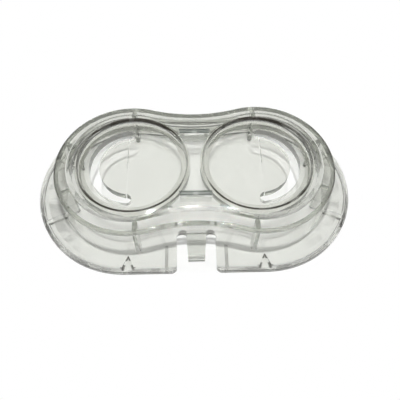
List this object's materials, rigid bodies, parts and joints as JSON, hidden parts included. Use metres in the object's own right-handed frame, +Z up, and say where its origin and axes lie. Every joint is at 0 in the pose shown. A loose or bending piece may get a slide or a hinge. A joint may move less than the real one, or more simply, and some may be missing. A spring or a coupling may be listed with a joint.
{
  "type": "contact lens case",
  "caption": "Clear figure-eight contact lens case: flanged shell, raised deck with two round wells, slotted floors with press leaves and a front snap latch.",
  "frame": {"origin": "on the table under the middle of the case: the centre of the flange's outline at the height of the lip's lower face", "axes": "+X from the left well to the right well, +Y from the latch side to the rear, +Z up out of the wells"},
  "size_m": [0.0694, 0.04, 0.0121],
  "materials": {
    "clear_shell": "polished clear plastic with a faint green-grey tint",
    "clear_deck": "polished clear plastic with a faint green-grey tint",
    "clear_floor": "polished clear plastic with a faint green-grey tint",
    "clear_latch": "polished clear plastic with a faint green-grey tint"
  },
  "bodies": {
    "case": {"outer_shell": "clear_shell", "deck_plate": "clear_deck", "left_well_floor": "clear_floor", "right_well_floor": "clear_floor", "rear_bridge_bar": "clear_deck", "front_bridge_bar": "clear_deck"},
    "left_leaf": {"left_press_leaf": "clear_floor"},
    "right_leaf": {"right_press_leaf": "clear_floor"},
    "latch": {"front_latch": "clear_latch"}
  },
  "joints": [
    {"name": "left_leaf_press", "type": "hinge", "parent": "case", "child": "left_leaf", "pos_m": [-0.01405, 0, 0.00985], "axis": [0, -1, 0], "range_deg": [0, 4], "stiffness_Nm_per_rad": 0.1},
    {"name": "right_leaf_press", "type": "hinge", "parent": "case", "child": "right_leaf", "pos_m": [0.01405, 0, 0.00985], "axis": [0, 1, 0], "range_deg": [0, 4], "stiffness_Nm_per_rad": 0.1},
    {"name": "latch_flex", "type": "hinge", "parent": "case", "child": "latch", "pos_m": [0, -0.01347, 0.00605], "axis": [-1, 0, 0], "range_deg": [-5, 8], "stiffness_Nm_per_rad": 0.05}
  ]
}
